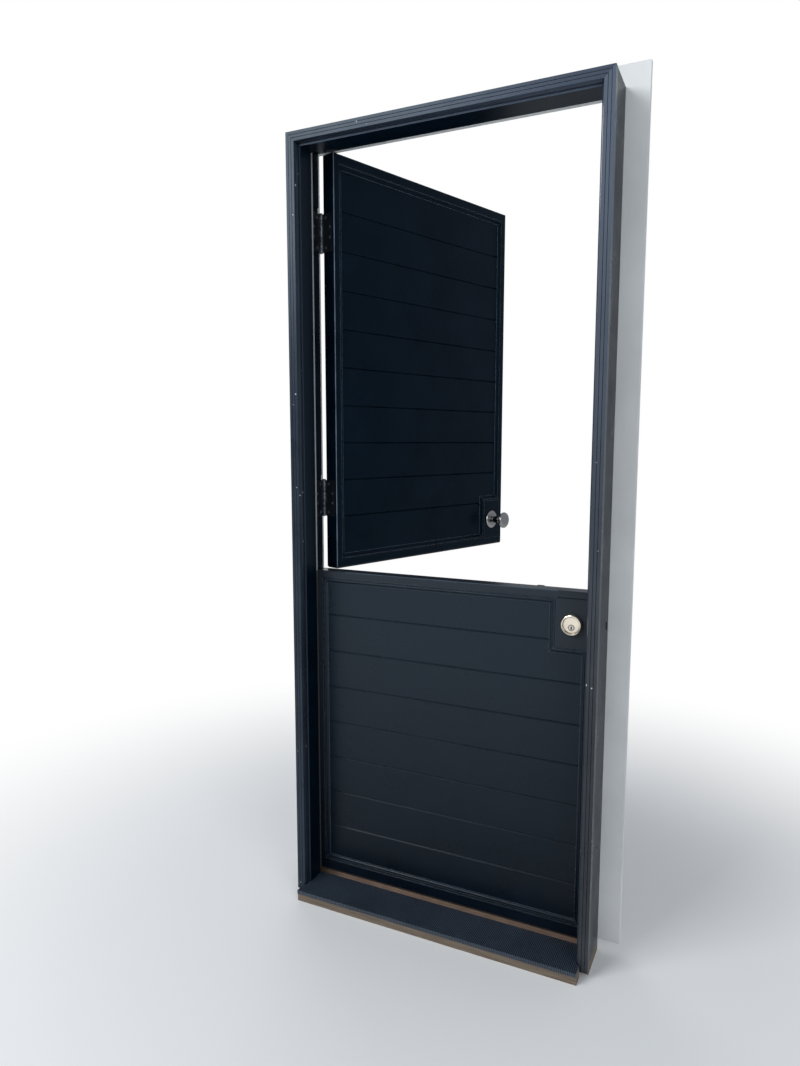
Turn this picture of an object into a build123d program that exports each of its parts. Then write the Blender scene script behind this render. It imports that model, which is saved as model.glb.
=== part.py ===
from build123d import *
import math
import os

os.makedirs("parts", exist_ok=True)

# All sizes are in millimetres. X runs to the right seen from outside, Y runs into the room and Z is up.
# X = 0 is the middle of the opening, Y = 0 the outer face of a closed leaf and Z = 0 the sill's underside.

# The two leaves
leaf_width = 830.0
leaf_thickness = 44.5
lower_height = 941.0
upper_height = 1189.0
side_gap = 3.0
head_gap = 3.0
meeting_gap = 4.0
floor_gap = 4.0
upper_open_angle = 72.3
stile_width = 100.0
rail_height = 110.0
bottom_rail_height = 190.0
side_lip = 17.0
upper_lip = 21.0
lower_top_lip = 19.0
lower_bottom_lip = 27.0
rebate_depth = 21.0
leaf_edge_ease = 1.8

# The boarded panels
panel_recess = 9.0
back_layer = 14.0
board_pitch = 110.6
groove_width = 6.0
groove_depth = 3.0
smallest_end_board = 20.0

# The panel moulding, measured inwards from the lip
moulding_width = 18.5
bead_width = 3.5
bead_rise = 0.6
quirk_width = 3.8
quirk_depth = 2.0
second_bead_width = 3.6
cove_depth = 8.2

# The blocks behind the locks
block_width = 87.0
lower_block_height = 130.0
upper_block_height = 139.0
block_chamfer = 0.8

# The door frame
jamb_thickness = 19.0
stop_projection = 12.7
head_stop_projection = 16.5
stop_depth = 54.5
seal_space = 13.5
seal_width = 11.5
seal_gap = 0.5
seal_round = 4.0

# The outer casing
casing_width = 28.3
casing_thickness = 21.0
casing_reveal = 5.0
casing_slope_width = 2.6
casing_slope_depth = 6.5
casing_groove_width = 1.4
casing_groove_depth = 1.0
casing_drop = 14.0

# The inner casing
inner_casing_width = 70.0
inner_casing_thickness = 19.0
inner_reveal = 6.0
inner_head_reveal = 0.5
inner_edge_round = 2.5

# The sill, its mat and the threshold
sill_thickness = 31.0
sill_reach = 54.0
sill_side_gap = 0.5
sill_front_overlap = 2.5
mat_thickness = 5.0
mat_fall = 1.5
mat_nose = 3.0
mat_nose_drop = 8.0
rib_pitch = 4.6
rib_depth = 1.2
threshold_rise = 12.0
threshold_nose = 9.5
threshold_end_gap = 0.2
threshold_line = 1.0
sweep_thickness = 3.2
sweep_setback = 3.0
meeting_seal_thickness = 3.0
meeting_seal_setback = 2.0

# The hinges
hinge_height = 108.0
hinge_from_top = 160.0
hinge_from_bottom = 154.0
plate_thickness = 2.8
plate_start = 8.0
pin_beyond_leaf = 10.0
knuckle_radius = 6.35
knuckle_count = 5
knuckle_gap = 0.3
pin_radius = 3.0
pin_clearance = 0.05
pin_head_radius = 5.2
pin_head_height = 3.0
plate_clearance = 0.85
mortise_over = 15.0

# What both locks share
backset = 60.3
cross_bore = 54.0
lock_tube_radius = 12.2
lock_tube_length = 42.0
lock_bore_clearance = 0.3
face_width = 25.4
face_height = 57.2
face_thickness = 2.5
bolt_clearance = 0.35
hub_half_length = 14.0
hub_thickness = 16.0
hub_height = 28.0
strike_thickness = 2.0
strike_height = 70.0
strike_start = 8.0
strike_hole_clearance = 1.5
pocket_depth = 13.0

# The knob set on the upper leaf
knob_rise = 90.0
rosette_radius = 31.75
rosette_height = 8.0
rosette_edge_height = 2.0
rosette_dome_height = 6.0
rosette_dome_width = 13.0
shank_radius = 11.0
turning_clearance = 0.3
knob_radius = 29.0
knob_length = 64.0
knob_face_radius = 10.0
knob_neck_round = 8.0
spindle_width = 8.0
spindle_hole_radius = 6.0
latch_height = 15.0
latch_width = 12.0
latch_throw = 12.7
latch_length = 34.0

# The deadbolt on the lower leaf
deadbolt_drop = 86.0
collar_radius = 28.5
collar_height = 14.0
collar_mouth_radius = 24.0
collar_floor_radius = 14.5
collar_floor = 8.0
collar_body_radius = 21.0
collar_body_length = 9.0
plug_radius = 6.4
plug_clearance = 0.1
plug_drop = 7.0
plug_proud = 1.2
plug_length = 8.0
key_slot_width = 1.6
key_slot_height = 8.0
key_slot_depth = 4.0
deadbolt_height = 18.0
deadbolt_width = 13.0
deadbolt_throw = 25.4
deadbolt_length = 42.0
deadbolt_tube_length = 44.0
rose_radius = 28.5
rose_height = 6.0
turn_hub_radius = 8.0
turn_hub_height = 10.0
turn_length = 34.0
turn_width = 7.0
turn_height = 12.0
tail_width = 6.4
tail_thickness = 2.4
tail_hole_radius = 4.5
tail_tip = 12.0

# The bolt that ties the leaves together, on their inner faces
dutch_inset = 160.0
dutch_plate_width = 36.0
dutch_plate_height = 84.0
dutch_plate_thickness = 2.5
dutch_plate_rise = 4.0
dutch_radius = 6.0
dutch_clearance = 0.3
dutch_guide_width = 20.0
dutch_guide_height = 12.0
dutch_guide_wall = 2.5
dutch_length = 92.0
dutch_start = 2.0
dutch_travel = 25.0
dutch_knob_radius = 4.0
dutch_knob_length = 16.0
keeper_height = 34.0

# Places that follow from the sizes above
half_leaf = leaf_width / 2
half_rabbet = half_leaf + side_gap
half_stop = half_rabbet - stop_projection
lower_bottom = sill_thickness + threshold_rise + floor_gap
lower_top = lower_bottom + lower_height
upper_bottom = lower_top + meeting_gap
upper_top = upper_bottom + upper_height
head_rabbet = upper_top + head_gap
head_stop = head_rabbet - head_stop_projection
stop_rear = -seal_space
jamb_front = stop_rear - stop_depth
jamb_back = leaf_thickness
casing_front = jamb_front - casing_thickness
half_casing = half_stop + casing_reveal
casing_foot = sill_thickness - casing_drop
mat_top = sill_thickness + mat_thickness
threshold_top = sill_thickness + threshold_rise
pin_x = -half_leaf - side_gap / 2
pin_y = leaf_thickness + pin_beyond_leaf
lock_x = half_leaf - backset
lock_y = leaf_thickness / 2
block_left = half_leaf - side_lip - block_width
knob_z = upper_bottom + knob_rise
deadbolt_z = lower_top - deadbolt_drop
dutch_x = half_leaf - dutch_inset
dutch_y = leaf_thickness + dutch_plate_thickness + dutch_guide_wall + dutch_clearance + dutch_radius
lower_block = (lower_top - lower_top_lip - lower_block_height, lower_top - lower_top_lip)
upper_block = (upper_bottom + upper_lip, upper_bottom + upper_lip + upper_block_height)
upper_hinges = (upper_bottom + hinge_from_bottom, upper_top - hinge_from_top - hinge_height)
lower_hinges = (lower_bottom + hinge_from_bottom, lower_top - hinge_from_top - hinge_height)
reach = 1.0


def block(x0, x1, y0, y1, z0, z1):
    """A square-edged block between two opposite corners."""
    return Pos((x0 + x1) / 2, (y0 + y1) / 2, (z0 + z1) / 2) * Box(x1 - x0, y1 - y0, z1 - z0)


def rod_x(x0, x1, y, z, radius):
    """A round bar along X."""
    return Pos((x0 + x1) / 2, y, z) * Rot(0, 90, 0) * Cylinder(radius, x1 - x0)


def rod_y(y0, y1, x, z, radius):
    """A round bar along Y."""
    return Pos(x, (y0 + y1) / 2, z) * Rot(90, 0, 0) * Cylinder(radius, y1 - y0)


def rod_z(z0, z1, x, y, radius):
    """A round bar along Z."""
    return Pos(x, y, (z0 + z1) / 2) * Cylinder(radius, z1 - z0)


def prism(points, direction, length):
    """A flat outline in space, pushed out along a direction."""
    return extrude(make_face(Polyline(*points, close=True)), amount=length, dir=direction)


def turned(outline, x, y, z, inside):
    """A turned piece on a leaf's face: the outline gives radius across and height away from the face."""
    shape = revolve(make_face(outline), Axis.Y)
    if inside:
        shape = mirror(shape, about=Plane.XZ)
    return Pos(x, y, z) * shape


def outline(*points):
    """A closed outline of straight lines on the radius and height plane of a turned piece."""
    return Polyline(*[(radius, -height) for radius, height in points], close=True)


def group(solids):
    """Like pieces that share one node."""
    return Compound(children=list(solids))


# Frame


def jamb(side):
    """A side jamb with its stop worked from the solid, standing on the sill."""
    points = [
        (half_rabbet + jamb_thickness, jamb_front),
        (half_stop, jamb_front),
        (half_stop, stop_rear),
        (half_rabbet, stop_rear),
        (half_rabbet, jamb_back),
        (half_rabbet + jamb_thickness, jamb_back),
    ]
    top = head_rabbet + jamb_thickness
    return prism([(side * x, y, sill_thickness) for x, y in points], (0, 0, 1), top - sill_thickness)


def jamb_head():
    """The head, housed between the two side jambs."""
    top = head_rabbet + jamb_thickness
    rabbet = block(-half_rabbet, half_rabbet, stop_rear, jamb_back, head_rabbet, top)
    return rabbet + block(-half_stop, half_stop, jamb_front, stop_rear, head_stop, top)


def casing_profile():
    """The outer casing's section: distance outwards from its inner edge, and place through the wall."""
    flat = casing_width - casing_slope_width
    points = [(0, jamb_front), (0, casing_front + casing_slope_depth), (casing_slope_width, casing_front)]
    for third in (1, 2):
        centre = casing_slope_width + flat * third / 3
        points.append((centre - casing_groove_width / 2, casing_front))
        points.append((centre, casing_front + casing_groove_depth))
        points.append((centre + casing_groove_width / 2, casing_front))
    points.append((casing_width, casing_front))
    points.append((casing_width, jamb_front))
    return points


def mitre_plane(half_inner, inner_z, side):
    """The plane of a mitre at a top corner, facing up and towards the middle of the opening."""
    return Plane(origin=(side * half_inner, 0, inner_z), z_dir=(-side, 0, 1))


def side_casing(profile, half_inner, inner_z, foot, side):
    """An upright casing, mitred at its top."""
    length = inner_z - foot + casing_width + inner_casing_width
    upright = prism([(side * (half_inner + u), y, foot) for u, y in profile], (0, 0, 1), length)
    return split(upright, bisect_by=mitre_plane(half_inner, inner_z, side), keep=Keep.BOTTOM)


def head_casing(profile, half_inner, inner_z):
    """The casing across the head, mitred at both ends."""
    width = max(u for u, y in profile)
    start = -half_inner - width - reach
    bar = prism([(start, y, inner_z + u) for u, y in profile], (1, 0, 0), -2 * start)
    for side in (-1, 1):
        bar = split(bar, bisect_by=mitre_plane(half_inner, inner_z, side), keep=Keep.TOP)
    return bar


def inner_profile():
    """The inner casing's section, with both front edges eased."""
    back = jamb_back
    front = jamb_back + inner_casing_thickness
    ease = inner_edge_round
    return [
        (0, back),
        (0, front - ease),
        (ease, front),
        (inner_casing_width - ease, front),
        (inner_casing_width, front - ease),
        (inner_casing_width, back),
    ]


def sill():
    """The sill board: full width under the jambs, notched round the casings, proud in front of them."""
    front = casing_front - sill_reach + casing_thickness
    half_between = half_casing - sill_side_gap
    half_front = half_leaf + sill_front_overlap
    half_full = half_rabbet + jamb_thickness
    body = block(-half_full, half_full, jamb_front, jamb_back, 0, sill_thickness)
    body += block(-half_between, half_between, front, jamb_front, 0, sill_thickness)
    for side in (-1, 1):
        ends = sorted((side * (half_between - 1), side * half_front))
        body += block(*ends, front, casing_front - sill_side_gap, 0, sill_thickness)
    return body


def sill_mat():
    """The ribbed rubber mat on the sill, with ribs from back to front and a nose over the front edge."""
    front = casing_front - sill_reach + casing_thickness
    half_front = half_leaf + sill_front_overlap
    half_between = half_casing - sill_side_gap
    half_inside = half_stop - sill_side_gap
    back = -threshold_nose
    low = sill_thickness - mat_nose_drop
    section = [
        (-half_front, back, sill_thickness),
        (-half_front, back, mat_top + reach),
        (-half_front, front - mat_nose, mat_top + reach),
        (-half_front, front - mat_nose, low),
        (-half_front, front, low),
        (-half_front, front, sill_thickness),
    ]
    sheet = prism(section, (1, 0, 0), 2 * half_front)
    for side in (-1, 1):
        outer = side * (half_front + reach)
        at_casing = sorted((side * half_between, outer))
        at_jamb = sorted((side * half_inside, outer))
        sheet -= block(*at_casing, casing_front - sill_side_gap, back + reach, 0, mat_top + 2 * reach)
        sheet -= block(*at_jamb, jamb_front - sill_side_gap, back + reach, 0, mat_top + 2 * reach)
    return sheet - rib_cutter(front - mat_nose, half_front)


def rib_cutter(front, half_front):
    """The air above the mat: a zigzag that leaves the ribs and falls gently to the front edge."""
    count = math.ceil(half_front / rib_pitch) + 1
    points = []
    for i in range(-count, count + 1):
        points.append((i * rib_pitch, 0, mat_top - rib_depth))
        points.append(((i + 0.5) * rib_pitch, 0, mat_top))
    points.append(((count + 0.5) * rib_pitch, 0, mat_top + 4 * reach))
    points.append((-count * rib_pitch, 0, mat_top + 4 * reach))
    fall = mat_fall / (-threshold_nose - front)
    face = make_face(Polyline(*points, close=True))
    length = -front + threshold_nose
    return extrude(face, amount=length, dir=Vector(0, -1, -fall).normalized())


def threshold():
    """The metal threshold under the leaf, with a sloping nose that holds the mat's back edge."""
    half = half_rabbet - threshold_end_gap
    nose = [(-threshold_nose, sill_thickness), (-threshold_nose, mat_top)]
    steps = 4
    rise = (threshold_top - mat_top) / steps
    run = threshold_nose / steps
    for i in range(1, steps):
        y = -threshold_nose + i * run
        z = mat_top + i * rise
        nose.append((y - threshold_line / 2, z - rise * threshold_line / run / 2))
        nose.append((y, z - threshold_line))
        nose.append((y + threshold_line / 2, z + rise * threshold_line / run / 2))
    rest = [(0, threshold_top), (leaf_thickness - 6, threshold_top), (jamb_back, sill_thickness)]
    return prism([(-half, y, z) for y, z in nose + rest], (1, 0, 0), 2 * half)


def seal_section(outer):
    """The seal's section beside the stop: outer is where it touches the jamb."""
    inner = outer - seal_width
    return Polyline(
        (outer, stop_rear),
        (inner, stop_rear),
        (inner, -seal_gap - seal_round),
        (inner + seal_round, -seal_gap),
        (outer, -seal_gap),
        close=True,
    )


def side_seal(side):
    """The soft seal behind a side jamb's stop."""
    face = make_face(seal_section(half_rabbet))
    seal = Pos(0, 0, threshold_top) * extrude(face, amount=head_rabbet - seal_width - threshold_top)
    if side < 0:
        seal = mirror(seal, about=Plane.YZ)
    return seal


def head_seal():
    """The soft seal behind the head's stop, above the side seals."""
    inner = head_rabbet - seal_width
    points = [
        (-half_rabbet, stop_rear, head_rabbet),
        (-half_rabbet, stop_rear, inner),
        (-half_rabbet, -seal_gap - seal_round, inner),
        (-half_rabbet, -seal_gap, inner + seal_round),
        (-half_rabbet, -seal_gap, head_rabbet),
    ]
    return prism(points, (1, 0, 0), 2 * half_rabbet)


# Hinges


def knuckle_heights(z):
    """The bottom and top of each knuckle of a hinge that starts at z."""
    height = (hinge_height - (knuckle_count - 1) * knuckle_gap) / knuckle_count
    starts = [z + i * (height + knuckle_gap) for i in range(knuckle_count)]
    return [(start, start + height) for start in starts]


def hinge_plate(z, side):
    """One plate of a hinge with its knuckles: side -1 is the jamb's, side 1 the leaf's."""
    near = side * side_gap / 2
    far = near + side * plate_thickness
    low, high = sorted((pin_x + near, pin_x + far))
    plate_end = pin_y - knuckle_radius - plate_clearance
    plate = block(low, high, plate_start, plate_end, z, z + hinge_height)
    first = 0 if side < 0 else 1
    tab_end = pin_y - pin_radius
    for start, end in knuckle_heights(z)[first::2]:
        plate += block(low, high, plate_end - reach, tab_end, start, end)
        plate += rod_z(start, end, pin_x, pin_y, knuckle_radius)
    plate -= rod_z(z - reach, z + hinge_height + reach, pin_x, pin_y, pin_radius + pin_clearance)
    return plate


def hinge_pin(z):
    """A loose pin whose head rests on the top knuckle."""
    top = z + hinge_height
    pin = rod_z(z - 1.5, top + 0.5, pin_x, pin_y, pin_radius)
    head = rod_z(top, top + pin_head_height, pin_x, pin_y, pin_head_radius)
    return pin + chamfer(head.edges().group_by(Axis.Z)[-1], 0.8)


def leaf_mortise(z):
    """The shallow recess for a plate in a leaf's edge."""
    return block(-half_leaf - reach, -half_leaf + plate_thickness, plate_start, leaf_thickness + reach, z,
                 z + hinge_height)


def jamb_mortise(z):
    """The recess in the jamb, cut a little taller than the hinge."""
    top = z + hinge_height + mortise_over
    return block(-half_rabbet - plate_thickness, -half_rabbet + reach, plate_start, jamb_back + reach, z, top)


# Leaves


def recess(bottom, top, lip_bottom, lip_top):
    """The rebate in a leaf's outer face that takes the boards, the moulding and the lock block."""
    edge = half_leaf - side_lip
    return block(-edge, edge, -reach, rebate_depth, bottom + lip_bottom, top - lip_top)


def eased(piece, keep):
    """A leaf's frame member with the outer face's edges eased where they are the leaf's own."""
    face = piece.faces().sort_by(Axis.Y)[0]
    return chamfer([edge for edge in face.edges() if keep(edge.center())], leaf_edge_ease)


def stile(side, bottom, top, lip_bottom, lip_top):
    """An upright of a leaf's frame."""
    ends = sorted((side * half_leaf, side * (half_leaf - stile_width)))
    inner = half_leaf - stile_width
    upright = block(*ends, 0, leaf_thickness, bottom, top)
    return eased(upright, lambda at: side * at.X > inner + reach) - recess(bottom, top, lip_bottom, lip_top)


def rail(low, high, bottom, top, lip_bottom, lip_top):
    """A cross member between the stiles."""
    half = half_leaf - stile_width
    member = block(-half, half, 0, leaf_thickness, low, high)
    member = eased(member, lambda at: min(at.Z - bottom, top - at.Z) < reach)
    return member - recess(bottom, top, lip_bottom, lip_top)


def boards(bottom, top, lip_bottom, lip_top, rails, lock_block):
    """Horizontal boards with V joints, glued up as one panel that fills the rebate and the frame."""
    edge = half_leaf - side_lip
    low = bottom + lip_bottom
    high = top - lip_top
    panel = block(-edge, edge, panel_recess, rebate_depth, low, high)
    panel -= block(block_left, edge + reach, 0, rebate_depth + reach, *lock_block)
    half = half_leaf - stile_width
    panel += block(-half, half, rebate_depth, rebate_depth + back_layer, bottom + rails[0], top - rails[1])
    for z in groove_heights(low + moulding_width, high - moulding_width):
        points = [
            (-edge - reach, panel_recess - reach, z - groove_width / 2 * (1 + reach / groove_depth)),
            (-edge - reach, panel_recess + groove_depth, z),
            (-edge - reach, panel_recess - reach, z + groove_width / 2 * (1 + reach / groove_depth)),
        ]
        panel -= prism(points, (1, 0, 0), 2 * (edge + reach))
    return panel


def groove_heights(low, high):
    """The joints between boards, set out from the middle of the opening."""
    middle = (low + high) / 2
    count = math.floor(((high - low) / 2 - smallest_end_board) / board_pitch)
    return [middle + i * board_pitch for i in range(-count, count + 1)]


def moulding(bottom, top, lip_bottom, lip_top, lock_block, block_on_top):
    """The bead and cove moulding, mitred round the opening and round the lock block."""
    edge = half_leaf - side_lip
    low = bottom + lip_bottom
    high = top - lip_top
    if block_on_top:
        corners = [(0, low), (edge, low), (edge, lock_block[0]), (block_left, lock_block[0])]
        corners += [(block_left, high), (-edge, high), (-edge, low)]
        start, inwards = low, 1
    else:
        corners = [(0, high), (-edge, high), (-edge, low), (block_left, low)]
        corners += [(block_left, lock_block[1]), (edge, lock_block[1]), (edge, high)]
        start, inwards = high, -1
    path = Wire(Polyline(*[(x, 0, z) for x, z in corners], close=True).edges())
    section = make_face(moulding_section(start, inwards))
    return sweep(section, path=path, transition=Transition.RIGHT)


def moulding_section(start, inwards):
    """The moulding's section, across the opening's edge and down to the boards."""

    def at(across, deep):
        return (0, deep, start + inwards * across)

    first = bead_width
    second = first + quirk_width
    third = second + second_bead_width
    return [
        Line(at(0, panel_recess), at(0, 0.4)),
        ThreePointArc(at(0, 0.4), at(first / 2, -bead_rise), at(first, 0.4)),
        Line(at(first, 0.4), at(first + 0.7, quirk_depth)),
        Line(at(first + 0.7, quirk_depth), at(second - 0.7, quirk_depth)),
        Line(at(second - 0.7, quirk_depth), at(second, 0.9)),
        ThreePointArc(at(second, 0.9), at((second + third) / 2, 0.1), at(third, 1.0)),
        ThreePointArc(at(third, 1.0), at(third + 2.6, 5.4), at(moulding_width, cove_depth)),
        Line(at(moulding_width, cove_depth), at(moulding_width, panel_recess)),
        Line(at(moulding_width, panel_recess), at(0, panel_recess)),
    ]


def lock_block_piece(lock_block, bore_z):
    """The flush block that carries a lock, with its face edges eased so that its joint shows."""
    piece = block(block_left, half_leaf - side_lip, 0, rebate_depth, *lock_block)
    face = piece.faces().sort_by(Axis.Y)[0]
    piece = chamfer(face.edges(), block_chamfer)
    return piece - lock_bores(bore_z)


def lock_bores(z):
    """The cross bore and the bore in from the edge."""
    bores = rod_y(-reach, leaf_thickness + reach, lock_x, z, cross_bore / 2)
    return bores + rod_x(lock_x, half_leaf + reach, lock_y, z, lock_tube_radius + lock_bore_clearance)


def face_mortise(z):
    """The recess for a lock's face plate in the leaf's edge."""
    half = face_width / 2
    return block(half_leaf - face_thickness, half_leaf + reach, lock_y - half, lock_y + half,
                 z - face_height / 2, z + face_height / 2)


# Locks


def bolt_bar(x0, x1, z, width, height, clearance=0.0):
    """A bolt with rounded corners, or with a clearance the channel it slides in."""
    sketch = RectangleRounded(height + 2 * clearance, width + 2 * clearance, 2.5)
    return Pos(x0, lock_y, z) * Rot(0, 90, 0) * extrude(sketch, amount=x1 - x0)


def lock_case(z, width, height, tube_length, channel, hole_radius):
    """A tubular lock's case: face plate, tube and the hub that the spindle passes through."""
    half = face_width / 2
    case = block(half_leaf - face_thickness, half_leaf, lock_y - half, lock_y + half,
                 z - face_height / 2, z + face_height / 2)
    case += rod_x(half_leaf - tube_length, half_leaf - face_thickness / 2, lock_y, z, lock_tube_radius)
    case += block(lock_x - hub_half_length, half_leaf - tube_length + reach, lock_y - hub_thickness / 2,
                  lock_y + hub_thickness / 2, z - hub_height / 2, z + hub_height / 2)
    case -= bolt_bar(half_leaf - channel, half_leaf + reach, z, width, height, bolt_clearance)
    return case - rod_y(0, leaf_thickness, lock_x, z, hole_radius)


def latch_bolt():
    """The sprung latch bolt, bevelled on the side that meets the strike first."""
    tip = half_leaf + latch_throw
    bolt = bolt_bar(tip - latch_length, tip, knob_z, latch_width, latch_height)
    front = lock_y - latch_width / 2 - reach
    bevel = [(tip + reach, front), (tip - latch_throw + 1.5, front), (tip + reach, lock_y + latch_width / 3)]
    cut = prism([(x, y, knob_z - latch_height) for x, y in bevel], (0, 0, 1), 2 * latch_height)
    return bolt - cut


def strike(z, width, height):
    """A strike plate let into the jamb, with a hole for the bolt."""
    plate = block(half_rabbet, half_rabbet + strike_thickness, strike_start, jamb_back,
                  z - strike_height / 2, z + strike_height / 2)
    return plate - strike_hole(z, width, height, pocket_depth)


def strike_hole(z, width, height, depth):
    """The way for a bolt through a strike and into the jamb."""
    half = width / 2 + strike_hole_clearance
    up = height / 2 + strike_hole_clearance
    return block(half_rabbet - reach, half_rabbet + depth, lock_y - half, lock_y + half, z - up, z + up)


def strike_mortise(z):
    """The recess for a strike plate."""
    return block(half_rabbet - reach, half_rabbet + strike_thickness, strike_start, jamb_back + reach,
                 z - strike_height / 2, z + strike_height / 2)


def rosette():
    """The outline of a knob's rosette."""
    hole = shank_radius + turning_clearance
    rim = rosette_radius
    edge = (rim, -rosette_edge_height)
    middle = (rim - rosette_dome_width * 0.42, -rosette_dome_height * 0.87)
    step = (rim - rosette_dome_width, -rosette_dome_height)
    boss = (rim - rosette_dome_width - 1, -rosette_height)
    return [
        Line((hole, 0), (rim, 0)),
        Line((rim, 0), edge),
        ThreePointArc(edge, middle, step),
        Line(step, boss),
        Line(boss, (hole, -rosette_height)),
        Line((hole, -rosette_height), (hole, 0)),
    ]


def knob():
    """The outline of a round knob on its shank: a hollow neck that runs into a ball with a flat front."""
    root = 1.0
    ball = knob_radius - knob_face_radius
    ball_height = knob_length - ball
    neck_centre = shank_radius + knob_neck_round
    across = neck_centre - knob_face_radius
    apart = ball + knob_neck_round
    neck_height = ball_height - math.sqrt(apart**2 - across**2)
    lean = math.atan2(ball_height - neck_height, -across)

    def on_neck(angle):
        radius = neck_centre + knob_neck_round * math.cos(angle)
        return (radius, -neck_height - knob_neck_round * math.sin(angle))

    def on_ball(angle):
        return (knob_face_radius + ball * math.cos(angle), -ball_height - ball * math.sin(angle))

    meet = on_neck(lean)
    return [
        Line((0, -root), (shank_radius, -root)),
        Line((shank_radius, -root), on_neck(math.pi)),
        ThreePointArc(on_neck(math.pi), on_neck((math.pi + lean) / 2), meet),
        ThreePointArc(meet, on_ball((lean - math.pi / 2) / 2), on_ball(math.pi / 2)),
        Line(on_ball(math.pi / 2), (0, -knob_length)),
        Line((0, -knob_length), (0, -root)),
    ]


def spindle(clearance=0.0):
    """The square bar that both knobs turn, or with a clearance the hole it fits."""
    half = spindle_width / 2 + clearance
    return block(lock_x - half, lock_x + half, -6, leaf_thickness + 12, knob_z - half, knob_z + half)


def collar():
    """The deadbolt's outer collar: a ring round a cone-shaped hollow, with the cylinder body behind."""
    ring = outline(
        (0, 0),
        (collar_radius, 0),
        (collar_radius - 1, collar_height - 4),
        (collar_radius - 2.5, collar_height - 1),
        (collar_mouth_radius + 0.5, collar_height),
        (collar_mouth_radius - 0.8, collar_height - 0.6),
        (collar_floor_radius, collar_floor),
        (0, collar_floor),
    )
    body = turned(ring, lock_x, 0, deadbolt_z, False)
    body += rod_y(-reach, collar_body_length, lock_x, deadbolt_z, collar_body_radius)
    return body - rod_y(-collar_height, collar_body_length + reach, lock_x, deadbolt_z - plug_drop,
                        plug_radius + plug_clearance)


def key_plug():
    """The plug that the key turns, with its keyway."""
    front = -collar_floor - plug_proud
    plug = rod_y(front, plug_length, lock_x, deadbolt_z - plug_drop, plug_radius)
    half = key_slot_width / 2
    middle = deadbolt_z - plug_drop - 0.8
    return plug - block(lock_x - half, lock_x + half, front - reach, front + key_slot_depth,
                        middle - key_slot_height / 2, middle + key_slot_height / 2)


def inner_rose():
    """The outline of the thumbturn's rose."""
    hole = turn_hub_radius + turning_clearance
    rim = rose_radius
    low = rose_height / 3
    high = rose_height * 3 / 4
    return outline((hole, 0), (rim, 0), (rim, low), (rim - 3, high), (rim - 8, rose_height), (hole, rose_height))


def thumbturn():
    """The thumbturn with the flat tailpiece that drives the bolt."""
    face = leaf_thickness
    hub = rod_y(face + 0.5, face + turn_hub_height, lock_x, deadbolt_z, turn_hub_radius)
    grip_sketch = RectangleRounded(turn_width, turn_length, 3)
    grip = extrude(grip_sketch, amount=turn_height)
    grip = chamfer(grip.edges().group_by(Axis.Z)[-1], 1.2)
    grip = Pos(lock_x, face + turn_hub_height - reach, deadbolt_z) * Rot(-90, 0, 0) * grip
    tail = block(lock_x - tail_thickness / 2, lock_x + tail_thickness / 2, tail_tip, face + 2,
                 deadbolt_z - tail_width / 2, deadbolt_z + tail_width / 2)
    return hub + grip + tail


# The bolt between the leaves


def dutch_guide(z0, z1):
    """A bored guide that stands on the inner face."""
    half = dutch_guide_width / 2
    outer = dutch_y + dutch_radius + dutch_clearance + dutch_guide_wall
    guide = block(dutch_x - half, dutch_x + half, leaf_thickness + dutch_plate_thickness - 0.5, outer, z0, z1)
    guide = chamfer(guide.faces().sort_by(Axis.Y)[-1].edges().filter_by(Axis.Z), 3)
    return guide


def dutch_plate():
    """The upper leaf's bolt plate with its two guides."""
    low = upper_bottom + dutch_plate_rise
    half = dutch_plate_width / 2
    high = low + dutch_plate_height
    face = leaf_thickness + dutch_plate_thickness
    plate = block(dutch_x - half, dutch_x + half, leaf_thickness, face, low, high)
    plate += dutch_guide(low, low + dutch_guide_height)
    plate += dutch_guide(high - dutch_guide_height, high)
    return plate - rod_z(low - reach, high + reach, dutch_x, dutch_y, dutch_radius + dutch_clearance)


def dutch_bolt():
    """The round bolt with its thumb knob, shown raised."""
    low = upper_bottom + dutch_start
    bolt = rod_z(low, low + dutch_length, dutch_x, dutch_y, dutch_radius)
    bolt = chamfer(bolt.edges().group_by(Axis.Z)[0], 1.0)
    guide_foot = upper_bottom + dutch_plate_rise + dutch_plate_height - dutch_guide_height
    knob_at = guide_foot - dutch_knob_radius - 1
    return bolt + rod_y(dutch_y, dutch_y + dutch_knob_length, dutch_x, knob_at, dutch_knob_radius)


def dutch_keeper():
    """The lower leaf's keeper, which the bolt drops into."""
    high = lower_top - 2
    low = high - keeper_height
    half = dutch_plate_width / 2
    face = leaf_thickness + dutch_plate_thickness
    keeper = block(dutch_x - half, dutch_x + half, leaf_thickness, face, low, high)
    keeper += dutch_guide(low + 3, high)
    return keeper - rod_z(low, high + reach, dutch_x, dutch_y, dutch_radius + dutch_clearance)


# The pieces of the fixed frame

frame_hinges = lower_hinges + upper_hinges
jamb_left = jamb(-1)
for z in frame_hinges:
    jamb_left -= jamb_mortise(z)
jamb_right = jamb(1)
jamb_right -= strike_mortise(knob_z) + strike_mortise(deadbolt_z)
jamb_right -= strike_hole(knob_z, latch_width, latch_height, pocket_depth)
jamb_right -= strike_hole(deadbolt_z, deadbolt_width, deadbolt_height, jamb_thickness + reach)

outer_section = casing_profile()
inner_section = inner_profile()
outer_z = head_stop + casing_reveal
half_inner = half_rabbet + inner_reveal
inner_z = head_rabbet + inner_head_reveal

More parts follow.
